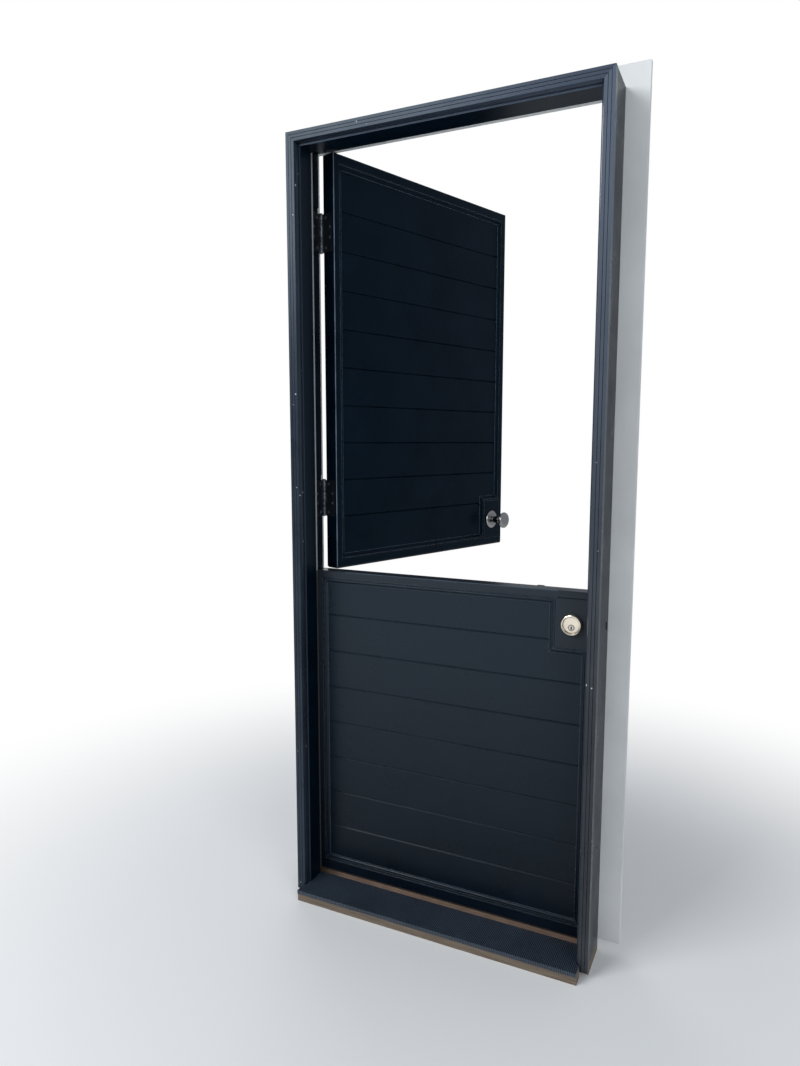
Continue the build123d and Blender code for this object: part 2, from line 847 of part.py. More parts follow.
parts = {
    "jamb_left": jamb_left,
    "jamb_right": jamb_right,
    "jamb_head": jamb_head(),
    "sill": sill(),
    "sill_mat": sill_mat(),
    "threshold": threshold(),
    "casing_left": side_casing(outer_section, half_casing, outer_z, casing_foot, -1),
    "casing_right": side_casing(outer_section, half_casing, outer_z, casing_foot, 1),
    "casing_head": head_casing(outer_section, half_casing, outer_z),
    "inner_casing_left": side_casing(inner_section, half_inner, inner_z, sill_thickness, -1),
    "inner_casing_right": side_casing(inner_section, half_inner, inner_z, sill_thickness, 1),
    "inner_casing_head": head_casing(inner_section, half_inner, inner_z),
    "seal_left": side_seal(-1),
    "seal_right": side_seal(1),
    "seal_head": head_seal(),
    "latch_strike": strike(knob_z, latch_width, latch_height),
    "deadbolt_strike": strike(deadbolt_z, deadbolt_width, deadbolt_height),
    "upper_hinge_jamb_leaves": group(hinge_plate(z, -1) for z in upper_hinges),
    "lower_hinge_jamb_leaves": group(hinge_plate(z, -1) for z in lower_hinges),
    "hinge_pins": group(hinge_pin(z) for z in frame_hinges),
}

# The lower leaf

lower = (lower_bottom, lower_top, lower_bottom_lip, lower_top_lip)
lower_hinge_stile = stile(-1, *lower)
for z in lower_hinges:
    lower_hinge_stile -= leaf_mortise(z)
lower_rails = (bottom_rail_height, rail_height)

parts["lower_hinge_stile"] = lower_hinge_stile
parts["lower_lock_stile"] = stile(1, *lower) - lock_bores(deadbolt_z) - face_mortise(deadbolt_z)
parts["lower_top_rail"] = rail(lower_top - rail_height, lower_top, *lower)
parts["lower_bottom_rail"] = rail(lower_bottom, lower_bottom + bottom_rail_height, *lower)
parts["lower_panel"] = boards(*lower, lower_rails, lower_block)
parts["lower_moulding"] = moulding(*lower, lower_block, True)
parts["lower_lock_block"] = lock_block_piece(lower_block, deadbolt_z)
parts["lower_hinge_leaves"] = group(hinge_plate(z, 1) for z in lower_hinges)
parts["door_sweep"] = block(-half_leaf + sweep_setback, half_leaf - sweep_setback, sweep_setback,
                            leaf_thickness - sweep_setback, lower_bottom - sweep_thickness, lower_bottom)
parts["deadbolt_collar"] = collar()
parts["deadbolt_plug"] = key_plug()
parts["deadbolt_rose_inner"] = turned(inner_rose(), lock_x, leaf_thickness, deadbolt_z, True)
parts["deadbolt_case"] = lock_case(deadbolt_z, deadbolt_width, deadbolt_height, deadbolt_tube_length,
                                   deadbolt_length + bolt_clearance, tail_hole_radius)
parts["deadbolt_bolt"] = bolt_bar(half_leaf - deadbolt_length, half_leaf, deadbolt_z, deadbolt_width,
                                  deadbolt_height)
parts["thumbturn"] = thumbturn()
parts["dutch_bolt_keeper"] = dutch_keeper()

# The upper leaf, made closed and then swung open

upper = (upper_bottom, upper_top, upper_lip, upper_lip)
upper_hinge_stile = stile(-1, *upper)
for z in upper_hinges:
    upper_hinge_stile -= leaf_mortise(z)
upper_rails = (rail_height, rail_height)
seal_edge = half_leaf - meeting_seal_setback

closed = {
    "upper_hinge_stile": upper_hinge_stile,
    "upper_lock_stile": stile(1, *upper) - lock_bores(knob_z) - face_mortise(knob_z),
    "upper_top_rail": rail(upper_top - rail_height, upper_top, *upper),
    "upper_bottom_rail": rail(upper_bottom, upper_bottom + rail_height, *upper),
    "upper_panel": boards(*upper, upper_rails, upper_block),
    "upper_moulding": moulding(*upper, upper_block, False),
    "upper_lock_block": lock_block_piece(upper_block, knob_z),
    "upper_hinge_leaves": group(hinge_plate(z, 1) for z in upper_hinges),
    "meeting_seal": block(-seal_edge, seal_edge, meeting_seal_setback, leaf_thickness - meeting_seal_setback,
                          upper_bottom - meeting_seal_thickness, upper_bottom),
    "knob_rosette_outer": turned(rosette(), lock_x, 0, knob_z, False),
    "knob_rosette_inner": turned(rosette(), lock_x, leaf_thickness, knob_z, True),
    "outer_knob": turned(knob(), lock_x, 0, knob_z, False) + spindle(),
    "inner_knob": turned(knob(), lock_x, leaf_thickness, knob_z, True) - spindle(0.15),
    "latch_case": lock_case(knob_z, latch_width, latch_height, lock_tube_length,
                            latch_length + bolt_clearance, spindle_hole_radius),
    "latch_bolt": latch_bolt(),
    "dutch_bolt_plate": dutch_plate(),
    "dutch_bolt": dutch_bolt(),
}
hinge_line = Axis((pin_x, pin_y, 0), (0, 0, 1))
for name, shape in closed.items():
    parts[name] = shape.rotate(hinge_line, upper_open_angle)

for name, shape in parts.items():
    export_step(shape, f"parts/{name}.step")
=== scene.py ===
import math

import bmesh
import bpy
from mathutils import Matrix, Vector
from mathutils.geometry import interpolate_bezier


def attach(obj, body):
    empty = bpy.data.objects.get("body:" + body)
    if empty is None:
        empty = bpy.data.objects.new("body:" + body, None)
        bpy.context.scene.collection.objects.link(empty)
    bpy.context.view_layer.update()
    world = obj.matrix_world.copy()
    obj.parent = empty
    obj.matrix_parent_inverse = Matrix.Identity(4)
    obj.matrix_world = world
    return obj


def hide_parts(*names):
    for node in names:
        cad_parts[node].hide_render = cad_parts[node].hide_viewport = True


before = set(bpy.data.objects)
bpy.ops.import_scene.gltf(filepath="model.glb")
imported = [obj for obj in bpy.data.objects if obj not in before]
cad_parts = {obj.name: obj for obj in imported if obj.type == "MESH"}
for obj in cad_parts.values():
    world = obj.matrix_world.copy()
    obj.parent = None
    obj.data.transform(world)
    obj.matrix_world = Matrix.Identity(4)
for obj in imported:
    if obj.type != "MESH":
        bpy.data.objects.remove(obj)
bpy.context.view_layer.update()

# The upper leaf's pin and how far the leaf stands open.
PIN = Vector((-0.4165, 0.0545, 0.0))
OPEN_ANGLE = math.radians(72.3)
OPENING = Matrix.Rotation(OPEN_ANGLE, 3, "Z")

# Sizes in metres that the pieces made here share with the frame.
MM = 0.001
HALF_LEAF = 0.415
LEAF_THICKNESS = 0.0445
LEAF_EASE = 0.0018
LOWER_BOTTOM = 0.047
LOWER_TOP = 0.988
UPPER_BOTTOM = 0.992
UPPER_TOP = 2.181
LOWER_JOINT = LOWER_TOP - 0.019
UPPER_JOINT = UPPER_BOTTOM + 0.021
JOINT_REACH = 0.0018
JAMB_STRIP_END = -0.0676
RIB_PITCH = 0.0046
JOINT_DEPTH = 0.0005

# Hinges, in metres.
HINGE_HEIGHT = 0.108
HINGE_ABOVE_BOTTOM = 0.154
HINGE_BELOW_TOP = 0.160
JAMB_PLATE_X = -0.418
LEAF_PLATE_X = -0.415
BARREL_START = 0.048

# Locks and tie bolt, in metres.
LOCK_X = 0.3547
LOCK_Y = 0.02225
STRIKE_X = 0.418
KNOB_Z = 1.082
DEADBOLT_Z = 0.902
COLLAR_FLOOR = 0.0086
PLUG_Z = DEADBOLT_Z - 0.007
KEYWAY_Z = DEADBOLT_Z - 0.0078
ROSE_FACE = LEAF_THICKNESS + 0.006
TIE_X = 0.255
TIE_FACE = LEAF_THICKNESS + 0.0025
KEEPER_Z = LOWER_TOP - 0.019
TIE_PLATE_ROWS = (UPPER_BOTTOM + 0.028, UPPER_BOTTOM + 0.064)

# Screws, in metres: the head's radius, and how far each one sits from the middle of its plate.
HINGE_SCREW = 0.0041
STRIKE_SCREW, STRIKE_REACH = 0.0036, 0.0285
FACE_PLATE_SCREW, FACE_PLATE_REACH = 0.0032, 0.0225
ROSE_SCREW, ROSE_REACH = 0.0034, 0.0145
TIE_SCREW, TIE_REACH = 0.0026, 0.0138

# Colours that several paints share. The sheen colours tint the paints' reflections as painted sky light:
# bluest on the open leaf and the jambs, grey on the closed leaf.
DARKEST = (0.0008, 0.004, 0.009)
BLUE_SHEEN = (0.35, 0.7, 1.0)
GREY_SHEEN = (0.85, 0.93, 1.0)
CASING_SHEEN = (0.7, 0.85, 1.0)
CASE_STEEL = (0.6, 0.58, 0.54)

# The camera: millimetres, pixels, metres and degrees.
SENSOR_WIDTH = 36.0
FOCAL_PIXELS = 757.64
PICTURE_PIXELS = 800.0
CAMERA_PLACE = (0.7823, -1.9083, 1.3679)
CAMERA_TILT = 6.858
CAMERA_TURN = 25.70

# The lights, in metres.
LIGHT_SIZE = 2.4
LIGHT_TARGET = Vector((0, 0, 1.1))


# Helpers


def to_open(point):
    """A point on the closed upper leaf, moved to where the leaf stands at rest."""
    return PIN + OPENING @ (Vector(point) - PIN)


class Material:
    """A node material under construction."""

    def __init__(self, name, **values):
        self.material = bpy.data.materials.new(name)
        self.material.use_nodes = True
        self.tree = self.material.node_tree
        self.shader = self.tree.nodes["Principled BSDF"]
        for key, value in values.items():
            self.shader.inputs[key.replace("_", " ")].default_value = value

    def node(self, kind, **settings):
        node = self.tree.nodes.new(kind)
        for key, value in settings.items():
            setattr(node, key, value)
        return node

    def link(self, output, target):
        self.tree.links.new(output, target)

    def feed(self, output, name):
        """Links an output to one of the shader's sockets."""
        self.link(output, self.shader.inputs[name])

    def place(self, scale=(1, 1, 1), upper=False):
        """Object coordinates. On the open leaf they are turned back to the closed leaf's."""
        source = self.node("ShaderNodeTexCoord").outputs["Object"]
        if upper:
            back = self.node("ShaderNodeMapping")
            back.inputs["Rotation"].default_value = (0, 0, -OPEN_ANGLE)
            back.inputs["Location"].default_value = PIN - OPENING.transposed() @ PIN
            self.link(source, back.inputs["Vector"])
            source = back.outputs["Vector"]
        mapping = self.node("ShaderNodeMapping")
        mapping.inputs["Scale"].default_value = scale
        self.link(source, mapping.inputs["Vector"])
        return mapping.outputs["Vector"]

    def axis(self, vector, name):
        node = self.node("ShaderNodeSeparateXYZ")
        self.link(vector, node.inputs["Vector"])
        return node.outputs[name]

    def distance(self, vector, centre=(0, 0, 0)):
        """How far a place lies from a centre."""
        node = self.node("ShaderNodeVectorMath", operation="DISTANCE")
        node.inputs[1].default_value = centre
        self.link(vector, node.inputs[0])
        return node.outputs["Value"]

    def noise(self, vector, scale, detail=4.0, rough=0.55):
        node = self.node("ShaderNodeTexNoise")
        node.inputs["Scale"].default_value = scale
        node.inputs["Detail"].default_value = detail
        node.inputs["Roughness"].default_value = rough
        self.link(vector, node.inputs["Vector"])
        return node.outputs["Fac"]

    def openness(self, distance):
        """How open the surface lies: 1 in the open, less in grooves and corners."""
        node = self.node("ShaderNodeAmbientOcclusion", samples=8)
        node.inputs["Distance"].default_value = distance
        return node.outputs["AO"]

    def ramp(self, value, *stops):
        """Colours along a value, from (place, colour) pairs."""
        node = self.node("ShaderNodeValToRGB")
        for element, (place, colour) in zip(node.color_ramp.elements, stops):
            element.position = place
            element.color = (*colour, 1)
        self.link(value, node.inputs["Fac"])
        return node.outputs["Color"]

    def greys(self, value, *stops):
        """Grey levels along a value, from (place, level) pairs."""
        return self.ramp(value, *[(place, (level,) * 3) for place, level in stops])

    def rise(self, value, low, high, top=1.0, **settings):
        """0 up to low, top from high on."""
        node = self.node("ShaderNodeMapRange", **settings)
        for name, number in (("From Min", low), ("From Max", high), ("To Max", top)):
            node.inputs[name].default_value = number
        self.link(value, node.inputs["Value"])
        return node.outputs["Result"]

    def math(self, operation, a, b):
        node = self.node("ShaderNodeMath", operation=operation)
        for socket, value in zip(node.inputs, (a, b)):
            if isinstance(value, (int, float)):
                socket.default_value = value
            else:
                self.link(value, socket)
        return node.outputs["Value"]

    def within(self, value, middle, reach):
        """1 where a value is within reach of the middle, 0 elsewhere."""
        off = self.math("ABSOLUTE", self.math("SUBTRACT", value, middle), 0)
        return self.math("LESS_THAN", off, reach)

    def product(self, first, *others):
        for other in others:
            first = self.math("MULTIPLY", first, other)
        return first

    def mix(self, factor, first, second):
        node = self.node("ShaderNodeMix", data_type="RGBA")
        self.link(factor, node.inputs["Factor"])
        for socket, value in ((node.inputs["A"], first), (node.inputs["B"], second)):
            if isinstance(value, tuple):
                socket.default_value = (*value, 1)
            else:
                self.link(value, socket)
        return node.outputs["Result"]

    def bump(self, *layers):
        """Bump from (height, strength, distance in metres) layers, chained."""
        normal = None
        for height, strength, distance in layers:
            node = self.node("ShaderNodeBump")
            node.inputs["Strength"].default_value = strength
            node.inputs["Distance"].default_value = distance
            self.link(height, node.inputs["Height"])
            if normal is not None:
                self.link(normal, node.inputs["Normal"])
            normal = node.outputs["Normal"]
        self.feed(normal, "Normal")


# Paint


def grain_scale(direction):
    """Stretch for brush marks and grain along a direction."""
    return {"X": (3, 60, 60), "Z": (60, 60, 3)}[direction]


def paint_specks(m, place, share):
    """Where specks of white paint have landed."""
    cells = m.node("ShaderNodeTexVoronoi", feature="F1")
    cells.inputs["Scale"].default_value = 46.0
    m.link(place, cells.inputs["Vector"])
    size = m.noise(place, 17.0, 2.0)
    spot = m.math("LESS_THAN", cells.outputs["Distance"], m.math("MULTIPLY", size, share))
    where = m.math("GREATER_THAN", m.noise(place, 9.0, 2.0), 0.52)
    return m.product(spot, where)


def black_paint(
    name, direction, upper=False, specks=0.0, base=DARKEST, gloss=0.12, sheen=BLUE_SHEEN, worn=()
):
    """Semi-gloss black paint: brush marks along the wood, worn sheen, and white paint specks if asked.

    Each entry of worn takes the material and gives a factor and the colour that lies over the paint there;
    some entries are painted light and shade.
    """
    m = Material(name, Specular_IOR_Level=gloss, Specular_Tint=(*sheen, 1.0))
    place = m.place(upper=upper)
    brush = m.noise(m.place(grain_scale(direction), upper), 6.0, 6.0, 0.6)
    cloud = m.noise(place, 7.0, 5.0, 0.6)
    fine = m.noise(place, 420.0, 3.0)
    lift = tuple(c * 1.6 + 0.001 for c in base)
    colour = m.mix(m.greys(cloud, (0.35, 0), (0.7, 1)), base, lift)
    if specks:
        colour = m.mix(paint_specks(m, place, specks), colour, (0.55, 0.57, 0.58))
    for layer in worn:
        factor, pale = layer(m)
        colour = m.mix(factor, colour, pale)
    m.feed(colour, "Base Color")
    m.feed(m.greys(cloud, (0.3, 0.24), (0.75, 0.38)), "Roughness")
    m.bump((brush, 0.22, 0.0006), (fine, 0.06, 0.0003))
    return m.material


def lighter_up_the_leaf(pale):
    """Painted light: a paler colour that grows towards the top of the lower leaf."""
    return lambda m: (m.rise(m.axis(m.place(), "Z"), 0.12, 0.95, 0.9), pale)


def painted_groove_shade(m):
    """Painted shade: near black where the surface is closed in, in grooves and corners."""
    return m.greys(m.openness(0.007), (0.55, 0.9), (0.93, 0)), (0.001, 0.002, 0.004)


def seam(upper, height):
    """The dark joint line on the lock side, where block and rail meet."""

    def worn(m):
        place = m.place(upper=upper)
        line = m.within(m.axis(place, "Z"), height, JOINT_REACH)
        front = m.math("LESS_THAN", m.axis(place, "Y"), JOINT_DEPTH)
        right = m.math("GREATER_THAN", m.axis(place, "X"), 0.0)
        return m.product(line, front, right), (0.0005, 0.001, 0.002)

    return worn


def painted_edge_highlight(pale):
    """Painted highlight: a paler colour on the arrises of mouldings and blocks."""

    # The paler colour on the arrises is a painted highlight.
    def worn(m):
        bevel = m.node("ShaderNodeBevel", samples=6)
        bevel.inputs["Radius"].default_value = 0.0011
        likeness = m.node("ShaderNodeVectorMath", operation="DOT_PRODUCT")
        m.link(bevel.outputs["Normal"], likeness.inputs[0])
        m.link(m.node("ShaderNodeNewGeometry").outputs["Normal"], likeness.inputs[1])
        return m.greys(likeness.outputs["Value"], (0.86, 0.9), (0.985, 0)), pale

    return worn


def painted_arris_highlight(upper, name, limit, pale):
    """The eased outer edge of a leaf, with a patchy painted highlight in a paler colour."""

    # A painted highlight: the eased edge is painted paler in patches.
    def worn(m):
        place = m.place(upper=upper)
        outer = m.math("GREATER_THAN", m.math("ABSOLUTE", m.axis(place, name), 0), limit - LEAF_EASE)
        front = m.math("LESS_THAN", m.axis(place, "Y"), LEAF_EASE)
        patchy = m.greys(m.noise(place, 14.0), (0.3, 0.45), (0.6, 1))
        return m.product(outer, front, patchy), pale

    return worn


def lit_jamb_front(pale):
    """Painted light: a paler colour on the strip of jamb between the stop's corner and the casing."""
    return lambda m: (m.math("LESS_THAN", m.axis(m.place(), "Y"), JAMB_STRIP_END), pale)


def lighter_towards_top(m):
    """Painted light: the paint grows lighter towards the top."""
    return m.rise(m.axis(m.place(), "Z"), 0.7, 2.1), (0.085, 0.105, 0.14)


def lighter_to_the_right(m):
    """Painted light: the paint grows lighter from the hinge side to the lock side."""
    return m.math("ADD", m.axis(m.place(), "X"), 0.5), (0.046, 0.06, 0.09)


def white_paint(name, direction):
    """Satin white paint with faint brush marks."""
    m = Material(name)
    brush = m.noise(m.place(grain_scale(direction)), 6.0, 5.0)
    cloud = m.noise(m.place(), 5.0)
    m.feed(m.ramp(cloud, (0.3, (0.70, 0.71, 0.70)), (0.7, (0.80, 0.81, 0.80))), "Base Color")
    m.feed(m.greys(cloud, (0.3, 0.34), (0.7, 0.46)), "Roughness")
    m.bump((brush, 0.15, 0.0005))
    return m.material


# Metal and enamel


def metal(name, colour, rough, upper=False, brushed=None):
    """Bare metal with smudges, and brush lines if asked."""
    m = Material(name, Metallic=1.0)
    cloud = m.noise(m.place(upper=upper), 60.0)
    low = tuple(c * 0.86 for c in colour)
    m.feed(m.mix(cloud, low, colour), "Base Color")
    m.feed(m.greys(cloud, (0.3, rough), (0.75, rough * 1.7)), "Roughness")
    fine = m.noise(m.place(brushed or (1, 1, 1), upper), 300.0, 3.0)
    m.bump((fine, 0.12 if brushed else 0.03, 0.0002))
    return m.material


def collar_metal():
    """Warm nickel, with painted shade in the corners and in a dark ring round the key plug."""
    m = Material("collar_metal", Metallic=1.0)
    place = m.place()
    cloud = m.noise(place, 60.0)
    colour = m.mix(cloud, (0.9, 0.8, 0.65), (1.0, 0.9, 0.75))
    # Painted shade: a dark ring round the key plug.
    plug_ring_shade = m.math("LESS_THAN", m.distance(place, (LOCK_X, -COLLAR_FLOOR, PLUG_Z)), 0.0084)
    colour = m.mix(plug_ring_shade, colour, (0.26, 0.21, 0.16))
    # Painted shade in the corners and the sunk face's edge.
    corner = m.greys(m.openness(0.006), (0.5, 0.85), (0.8, 0))
    m.feed(m.mix(corner, colour, (0.12, 0.09, 0.06)), "Base Color")
    m.feed(m.greys(cloud, (0.3, 0.16), (0.75, 0.26)), "Roughness")
    m.bump((m.noise(place, 300.0, 3.0), 0.03, 0.0002))
    return m.material


def plug_metal():
    """The key plug's nickel, with painted shade: near black round the mouth of the keyway."""
    m = Material("plug_metal", Metallic=1.0, Roughness=0.2)
    place = m.place()
    cloud = m.noise(place, 60.0)
    # Painted shade: a near-black patch round the keyway slot.
    side = m.within(m.axis(place, "X"), LOCK_X, 0.0017)
    rise = m.within(m.axis(place, "Z"), KEYWAY_Z, 0.0044)
    colour = m.mix(cloud, (0.62, 0.58, 0.52), (0.85, 0.81, 0.75))
    m.feed(m.mix(m.product(side, rise), colour, (0.01, 0.01, 0.01)), "Base Color")
    m.bump((m.noise(place, 300.0, 3.0), 0.03, 0.0002))
    return m.material


def black_enamel(
    name, upper=False, low=(0.002, 0.004, 0.007), high=(0.007, 0.01, 0.014), barrel=False
):
    """Black enamel on steel, a little worn to grey, and on a hinge's barrel down to the metal."""
    m = Material(name)
    place = m.place(upper=upper)
    cloud = m.noise(place, 90.0, 5.0)
    colour = m.ramp(cloud, (0.3, low), (0.72, high))
    if barrel:
        rubbed = m.math("GREATER_THAN", m.axis(place, "Y"), BARREL_START)
        worn = m.product(rubbed, m.greys(cloud, (0.4, 0), (0.55, 0.8)))
        colour = m.mix(worn, colour, (0.16, 0.18, 0.21))
        m.feed(worn, "Metallic")
    m.feed(colour, "Base Color")
    m.feed(m.greys(cloud, (0.3, 0.28), (0.75, 0.45)), "Roughness")
    m.bump((m.noise(place, 700.0, 2.0), 0.1, 0.0002))
    return m.material


def bronze():
    """Bronze-finished aluminium, brushed along its length and scuffed."""
    m = Material("bronze", Metallic=0.75)
    lines = m.noise(m.place((4, 400, 400)), 3.0)
    cloud = m.noise(m.place(), 18.0, 5.0)
    m.feed(m.mix(cloud, (0.10, 0.064, 0.044), (0.24, 0.165, 0.12)), "Base Color")
    m.feed(m.greys(lines, (0.3, 0.3), (0.7, 0.48)), "Roughness")
    m.bump((lines, 0.12, 0.0003))
    return m.material


# Rubber, foam and bare wood


def rubber(name, upper=False):
    """Black rubber with a fine tooth."""
    m = Material(name)
    place = m.place(upper=upper)
    cloud = m.noise(place, 14.0, 6.0, 0.65)
    m.feed(m.ramp(cloud, (0.3, (0.01, 0.01, 0.01)), (0.7, (0.02, 0.02, 0.02))), "Base Color")
    m.feed(m.greys(cloud, (0.3, 0.5), (0.7, 0.7)), "Roughness")
    m.bump((m.noise(place, 500.0, 3.0), 0.15, 0.0003))
    return m.material


def seal_foam():
    """The jamb's foam seal: grey beside the open leaf, darker as painted shade where the closed leaf
    squeezes it.
    """
    m = Material("seal_foam", Roughness=0.7)
    place = m.place()
    cloud = m.noise(place, 14.0, 6.0, 0.65)
    colour = m.mix(cloud, (0.24, 0.23, 0.23), (0.42, 0.4, 0.395))
    shade_beside_closed_leaf = m.math("LESS_THAN", m.axis(place, "Z"), LOWER_TOP)
    m.feed(m.mix(shade_beside_closed_leaf, colour, (0.05, 0.048, 0.05)), "Base Color")
    m.bump((m.noise(place, 900.0, 3.0), 0.15, 0.0003))
    return m.material


def ribbed_rubber():
    """The mat's black rubber: a painted highlight on the crests of its ribs and painted shade in the
    valleys, dusty, with a few pale specks.
    """
    m = Material("mat_rubber")
    place = m.place()
    cloud = m.noise(place, 14.0, 6.0, 0.65)
    # Painted highlight on the rib crests, painted shade in the valleys between them.
    crest_highlight = m.math("PINGPONG", m.math("DIVIDE", m.axis(place, "X"), RIB_PITCH), 0.5)
    crest_highlight = m.math("POWER", m.math("MULTIPLY", crest_highlight, 2.0), 3.0)
    crest_highlight = m.product(crest_highlight, m.math("ADD", cloud, 0.4))
    colour = m.mix(crest_highlight, (0.0015, 0.003, 0.006), (0.12, 0.17, 0.24))
    haze = m.greys(m.noise(place, 240.0, 3.0, 0.7), (0.62, 0), (0.74, 0.45))
    colour = m.mix(haze, colour, (0.16, 0.16, 0.155))
    grit = m.greys(m.noise(place, 700.0, 1.0), (0.74, 0), (0.78, 0.8))
    m.feed(m.mix(grit, colour, (0.5, 0.5, 0.48)), "Base Color")
    m.feed(m.greys(cloud, (0.3, 0.28), (0.7, 0.46)), "Roughness")
    m.bump((m.noise(place, 260.0, 3.0), 0.15, 0.0003))
    return m.material


def timber():
    """Bare weathered board."""
    m = Material("timber", Roughness=0.75)
    grain = m.noise(m.place((2, 60, 60)), 5.0, 7.0, 0.65)
    m.feed(m.ramp(grain, (0.3, (0.09, 0.065, 0.045)), (0.7, (0.23, 0.18, 0.13))), "Base Color")
    m.bump((grain, 0.4, 0.001))
    return m.material


# Which node gets which material


def paint_nodes(material, *names):
    """Gives named nodes of the frame a material."""
    for name in names:
        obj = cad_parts[name]
        if not obj.material_slots:
            obj.data.materials.append(material)
        for slot in obj.material_slots:
            slot.material = material


def dress_frame():
    # The jamb's front strip is painted lighter as painted light, most on the head, where the light falls
    # from above.
    front = lit_jamb_front((0.035, 0.047, 0.066))
    paint_nodes(black_paint("jamb_paint_upright", "Z", worn=(front,)), "jamb_left", "jamb_right")
    front = lit_jamb_front((0.1, 0.125, 0.17))
    paint_nodes(black_paint("jamb_paint_level", "X", worn=(front,)), "jamb_head")
    # The three casings carry one paint in lit and shaded copies, as painted light and shade: each has its
    # own base colour, the right one lighter towards the top and the head lighter to the right.
    for name, direction, base, worn in (
        ("casing_left", "Z", (0.015, 0.021, 0.031), (painted_groove_shade,)),
        ("casing_right", "Z", (0.026, 0.027, 0.030), (lighter_towards_top, painted_groove_shade)),
        ("casing_head", "X", (0.004, 0.007, 0.012), (lighter_to_the_right, painted_groove_shade)),
    ):
        look = {"specks": 0.17, "base": base, "gloss": 0.3, "sheen": CASING_SHEEN, "worn": worn}
        paint_nodes(black_paint(name + "_paint", direction, **look), name)
    paint_nodes(white_paint("white_upright", "Z"), "inner_casing_left", "inner_casing_right")
    paint_nodes(white_paint("white_level", "X"), "inner_casing_head")
    paint_nodes(timber(), "sill")
    paint_nodes(ribbed_rubber(), "sill_mat")
    paint_nodes(bronze(), "threshold")
    paint_nodes(seal_foam(), "seal_left", "seal_right", "seal_head")
    paint_nodes(rubber("sweep_rubber"), "door_sweep")
    paint_nodes(rubber("meeting_rubber", upper=True), "meeting_seal")
    strike = metal("strike_metal", (0.55, 0.5, 0.42), 0.3, brushed=(1, 1, 60))
    paint_nodes(strike, "latch_strike", "deadbolt_strike")


def dress_leaf(prefix, upper):
    """The two leaves carry one paint in lit and shaded copies, as painted light and shade: the open leaf's
    is the darkest, with a bluer sheen; the closed leaf's grows paler towards its top, with its panel,
    mouldings and bottom rail darker than its stiles, block and top rail.
    """
    if upper:
        look = {"base": DARKEST, "gloss": 0.12, "sheen": BLUE_SHEEN}
        pale, joint, limit = (0.17, 0.21, 0.26), UPPER_JOINT, UPPER_TOP
        boards, round_boards = (), ()
    else:
        look = {"base": (0.0012, 0.0036, 0.008), "gloss": 0.2, "sheen": GREY_SHEEN}
        pale, joint, limit = (0.075, 0.1, 0.135), LOWER_JOINT, LOWER_TOP
        boards, round_boards = (lighter_up_the_leaf((0.0165, 0.025, 0.0345)),), (lighter_up_the_leaf((0.027, 0.034, 0.042)),)
    line = seam(upper, joint)
    side = painted_arris_highlight(upper, "X", HALF_LEAF, pale)
    top = painted_arris_highlight(upper, "Z", limit, pale)
    edges = painted_edge_highlight(tuple(2.2 * c for c in pale))
    for name, direction, worn, nodes in (
        ("stile_paint", "Z", (*round_boards, line, side), ("hinge_stile", "lock_stile")),
        ("block_paint", "Z", (*round_boards, line, edges), ("lock_block",)),
        ("moulding_paint", "X", (*boards, painted_groove_shade, edges), ("moulding",)),
        ("board_paint", "X", boards, ("bottom_rail", "panel")),
        ("top_paint", "X", (*round_boards, top), ("top_rail",)),
    ):
        paint = black_paint(prefix + name, direction, upper, worn=worn, **look)
        paint_nodes(paint, *[prefix + node for node in nodes])
    paint_nodes(black_enamel(prefix + "enamel", upper, barrel=True), prefix + "hinge_leaves")


def dress_hardware():
    enamel = black_enamel("frame_enamel", barrel=True)
    paint_nodes(enamel, "upper_hinge_jamb_leaves", "lower_hinge_jamb_leaves", "hinge_pins")
    paint_nodes(black_enamel("keeper_enamel"), "dutch_bolt_keeper")
    paint_nodes(black_enamel("tie_enamel", upper=True), "dutch_bolt_plate", "dutch_bolt")
    nickel = metal("knob_nickel", (0.45, 0.44, 0.43), 0.07, upper=True)
    paint_nodes(nickel, "knob_rosette_outer", "knob_rosette_inner", "latch_bolt")
    knobs(nickel)
    nickel = metal("lock_nickel", (0.74, 0.7, 0.65), 0.12)
    paint_nodes(nickel, "deadbolt_rose_inner", "thumbturn", "deadbolt_bolt")
    collar(collar_metal())
    paint_nodes(plug_metal(), "deadbolt_plug")
    paint_nodes(metal("case_steel_upper", CASE_STEEL, 0.3, upper=True), "latch_case")
    paint_nodes(metal("case_steel_lower", CASE_STEEL, 0.3), "deadbolt_case")


# Meshes


def bridge(bm, loops):
    """Faces between neighbouring loops of vertices. A loop may be a single vertex."""
    for near, far in zip(loops, loops[1:]):
        steps = max(len(near), len(far))
        for i in range(steps):
            j = (i + 1) % steps
            if len(near) == 1:
                bm.faces.new((near[0], far[j], far[i]))
            elif len(far) == 1:
                bm.faces.new((near[i], near[j], far[0]))
            else:
                bm.faces.new((near[i], near[j], far[j], far[i]))


def smooth_object(name, bm, material, body):
    """The smooth object of a finished mesh, which rides on a body."""
    mesh = bpy.data.meshes.new(name)
    bm.to_mesh(mesh)
    bm.free()
    for face in mesh.polygons:
        face.use_smooth = True
    mesh.materials.append(material)
    obj = bpy.data.objects.new(name, mesh)
    bpy.context.scene.collection.objects.link(obj)
    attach(obj, body)
    return obj


# Knobs and collar


